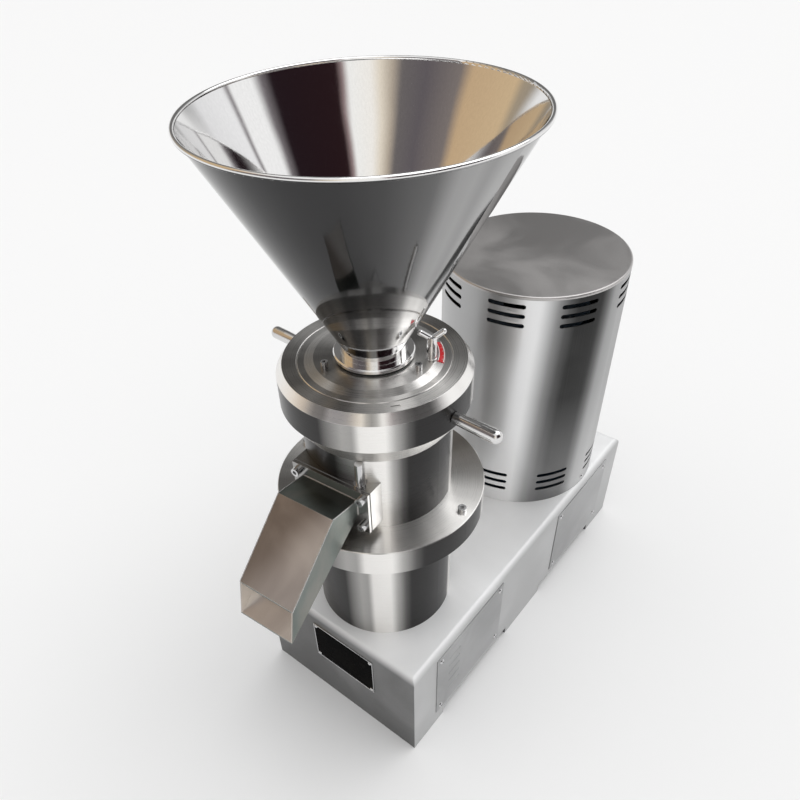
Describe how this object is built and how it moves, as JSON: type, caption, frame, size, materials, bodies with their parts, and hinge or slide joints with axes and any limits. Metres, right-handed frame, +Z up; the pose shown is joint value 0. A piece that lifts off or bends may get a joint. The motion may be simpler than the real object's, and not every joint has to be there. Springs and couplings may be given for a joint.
{
  "type": "colloid mill",
  "caption": "Vertical colloid mill on a box base: cone hopper, adjusting ring with bar handles, sloping discharge chute and a belt drive from a motor under a slotted round cover.",
  "frame": {"origin": "on the floor, under the middle of the machine's box", "axes": "+Z up along the mill axis, +Y from the discharge chute towards the motor, +X to the right when looking along +Y"},
  "size_m": [0.3818, 0.8414, 0.933],
  "materials": {
    "base_steel": "bead blasted, pale satin",
    "panel_steel": "satin sheet",
    "deck_steel": "mill finish",
    "black_plate": "black, satin",
    "fasteners": "bright",
    "dark_bolts": "dark zinc",
    "gland_plastic": "matte black",
    "turned_steel": "turned and polished",
    "inner_steel": "ground",
    "seal_face": "carbon face",
    "chute_steel": "brushed sheet",
    "strip_red": "red enamel with a white edge",
    "seal_rubber": "black",
    "polished_steel": "mirror polish",
    "pulley_iron": "machined",
    "belt_rubber": "black",
    "motor_paint": "blue grey enamel",
    "fan_plastic": "moulded",
    "cover_steel": "vertically brushed sheet"
  },
  "bodies": {
    "frame": {"base_shell": "base_steel", "panel_front_right": "panel_steel", "panel_front_left": "panel_steel", "panel_rear_right": "panel_steel", "panel_rear_left": "panel_steel", "base_deck": "deck_steel", "front_plate": "black_plate", "panel_screws": "fasteners", "plate_rivets": "fasteners", "flange_screws": "fasteners", "chute_screws": "fasteners", "cover_screws": "fasteners", "stop_stud": "fasteners", "stud_washer": "fasteners", "housing_bolts": "dark_bolts", "motor_bolts": "dark_bolts", "cable_gland": "gland_plastic", "bearing_housing": "turned_steel", "flange_disc": "turned_steel", "mill_body": "turned_steel", "outlet_block": "turned_steel", "lower_bearing": "inner_steel", "upper_bearing": "inner_steel", "shaft_seal": "seal_face", "chute_plate": "chute_steel", "chute": "chute_steel", "belts": "belt_rubber", "motor_flange": "motor_paint", "motor_frame": "motor_paint", "terminal_box": "motor_paint", "fan_cowl": "motor_paint", "cover_wall": "cover_steel", "cover_lid": "cover_steel"},
    "mill_rotor": {"mill_shaft": "inner_steel", "rotor": "inner_steel", "rotor_nut": "inner_steel", "driven_pulley": "pulley_iron", "driven_washer": "dark_bolts"},
    "motor_rotor": {"motor_shaft": "inner_steel", "drive_pulley": "pulley_iron", "drive_washer": "dark_bolts", "motor_fan": "fan_plastic"},
    "ring": {"adjusting_ring": "turned_steel", "handle_right": "turned_steel", "handle_left": "turned_steel"},
    "seat": {"feed_disc": "turned_steel", "stator": "inner_steel", "disc_screws": "fasteners", "scale_strip": "strip_red", "hopper_seal": "seal_rubber", "hopper_collar": "polished_steel", "hopper": "polished_steel"},
    "lock": {"lock_screw": "polished_steel", "lock_wings": "polished_steel"}
  },
  "joints": [
    {"name": "motor_spin", "type": "hinge", "parent": "frame", "child": "motor_rotor", "pos_m": [0, 0.24868, 0.1938], "axis": [0, 0, 1], "continuous": true},
    {"name": "mill_spin", "type": "hinge", "parent": "frame", "child": "mill_rotor", "pos_m": [0, -0.15732, 0.1938], "axis": [0, 0, 1], "continuous": true},
    {"name": "ring_turn", "type": "hinge", "parent": "frame", "child": "ring", "pos_m": [0, -0.15732, 0.606], "axis": [0, 0, 1], "range_deg": [-90, 180]},
    {"name": "seat_lift", "type": "slide", "parent": "frame", "child": "seat", "axis": [0, 0, 1], "range_m": [-0.0008, 0.0016]},
    {"name": "lock_turn", "type": "hinge", "parent": "seat", "child": "lock", "pos_m": [0.06471, -0.12576, 0.646], "axis": [0, 0, 1], "range_deg": [-60, 120]}
  ],
  "couplings": [
    {"joint": "mill_spin", "follows": "motor_spin", "ratio": 1.3725},
    {"joint": "seat_lift", "follows": "ring_turn", "m_per_rad": 0.00047746}
  ]
}
